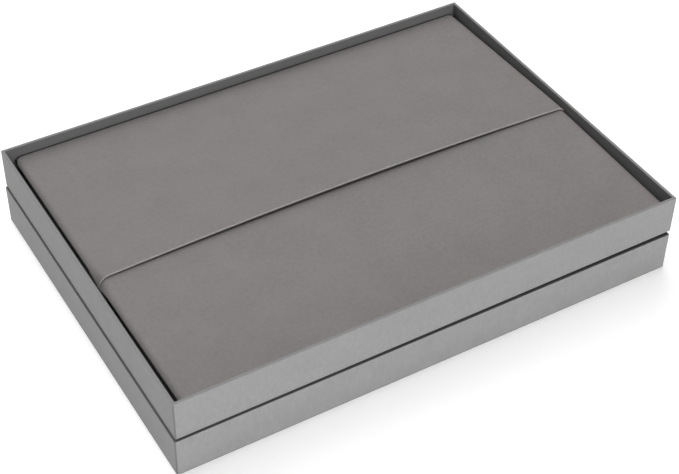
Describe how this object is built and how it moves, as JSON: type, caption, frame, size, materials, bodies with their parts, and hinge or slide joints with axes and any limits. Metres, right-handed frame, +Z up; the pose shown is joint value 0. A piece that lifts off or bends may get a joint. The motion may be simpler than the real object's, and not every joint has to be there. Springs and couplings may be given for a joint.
{
  "type": "archival box",
  "caption": "Flat paper-covered archival box: a tray closed by hinged inner flaps stands over the neck of an equal lower tray and lifts off",
  "frame": {"origin": "middle of the outline, on the surface that the box stands on", "axes": "+X along the long side to the right, +Y along the short side to the back flap's hinge, +Z up"},
  "size_m": [0.4416, 0.3186, 0.0745],
  "materials": {
    "cover_paper": "matte",
    "lining_paper": "matte",
    "flap_paper": "matte",
    "greyboard": "matte",
    "stay_tape": "matte"
  },
  "bodies": {
    "base": {"lower_front_wall": "greyboard", "lower_back_wall": "greyboard", "lower_left_wall": "greyboard", "lower_right_wall": "greyboard", "lower_floor_board": "greyboard", "lower_floor_lining": "lining_paper", "lower_cover": "cover_paper", "lower_base_sheet": "cover_paper", "lower_stay_front_left": "stay_tape", "lower_stay_front_right": "stay_tape", "lower_stay_back_left": "stay_tape", "lower_stay_back_right": "stay_tape", "neck_front": "lining_paper", "neck_back": "lining_paper", "neck_left": "lining_paper", "neck_right": "lining_paper"},
    "tray": {"upper_front_wall": "greyboard", "upper_back_wall": "greyboard", "upper_left_wall": "greyboard", "upper_right_wall": "greyboard", "upper_floor_board": "greyboard", "upper_floor_lining": "lining_paper", "upper_cover": "cover_paper", "upper_base_sheet": "cover_paper", "upper_stay_front_left": "stay_tape", "upper_stay_front_right": "stay_tape", "upper_stay_back_left": "stay_tape", "upper_stay_back_right": "stay_tape", "back_hinge_strip": "lining_paper", "front_hinge_strip": "lining_paper"},
    "back_flap": {"back_flap": "flap_paper"},
    "front_flap": {"front_flap": "flap_paper"}
  },
  "joints": [
    {"name": "tray_lift", "type": "slide", "parent": "base", "child": "tray", "axis": [0, 0, 1], "range_m": [0, 0.12]},
    {"name": "back_flap_hinge", "type": "hinge", "parent": "tray", "child": "back_flap", "pos_m": [0.00075, 0.15525, 0.063], "axis": [-1, 0, 0], "range_deg": [0, 90]},
    {"name": "front_flap_hinge", "type": "hinge", "parent": "tray", "child": "front_flap", "pos_m": [0.00075, -0.15375, 0.063], "axis": [1, 0, 0], "range_deg": [0, 81]}
  ],
  "couplings": [
    {"joint": "front_flap_hinge", "follows": "back_flap_hinge", "ratio": 0.9}
  ]
}
